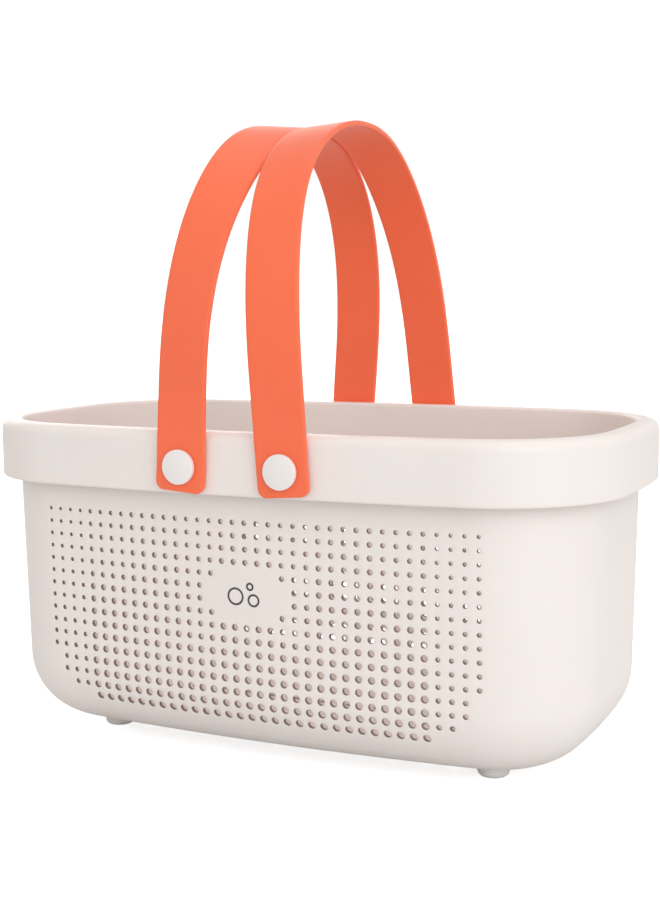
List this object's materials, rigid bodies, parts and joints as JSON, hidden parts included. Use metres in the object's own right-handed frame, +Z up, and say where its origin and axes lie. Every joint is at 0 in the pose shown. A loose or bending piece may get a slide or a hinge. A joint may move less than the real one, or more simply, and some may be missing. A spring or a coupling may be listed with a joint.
{
  "type": "shower caddy",
  "caption": "Rectangular perforated plastic basket with a deep rolled rim, soft feet and paired flat strap handles that swing on snap rivets.",
  "frame": {"origin": "on the standing plane, in the middle of the four feet", "axes": "+X along the basket's long side to the right, +Y from the front to the back, +Z up"},
  "size_m": [0.3188, 0.1928, 0.298],
  "materials": {
    "basket_plastic": "satin moulded polypropylene",
    "strap_plastic": "matte flexible plastic",
    "rivet_plastic": "satin to gloss moulded plastic",
    "foot_rubber": "soft translucent pad"
  },
  "bodies": {
    "basket": {"basket": "basket_plastic", "rivet_front_left": "rivet_plastic", "rivet_front_right": "rivet_plastic", "rivet_back_left": "rivet_plastic", "rivet_back_right": "rivet_plastic", "foot_front_left": "foot_rubber", "foot_front_right": "foot_rubber", "foot_back_left": "foot_rubber", "foot_back_right": "foot_rubber"},
    "handle_left": {"handle_left": "strap_plastic"},
    "handle_right": {"handle_right": "strap_plastic"}
  },
  "joints": [
    {"name": "left_handle_swing", "type": "hinge", "parent": "basket", "child": "handle_left", "pos_m": [-0.0251, 0, 0.142], "axis": [0, -1, 0], "range_deg": [0, 74]},
    {"name": "right_handle_swing", "type": "hinge", "parent": "basket", "child": "handle_right", "pos_m": [0.0251, 0, 0.142], "axis": [0, 1, 0], "range_deg": [0, 74]}
  ]
}
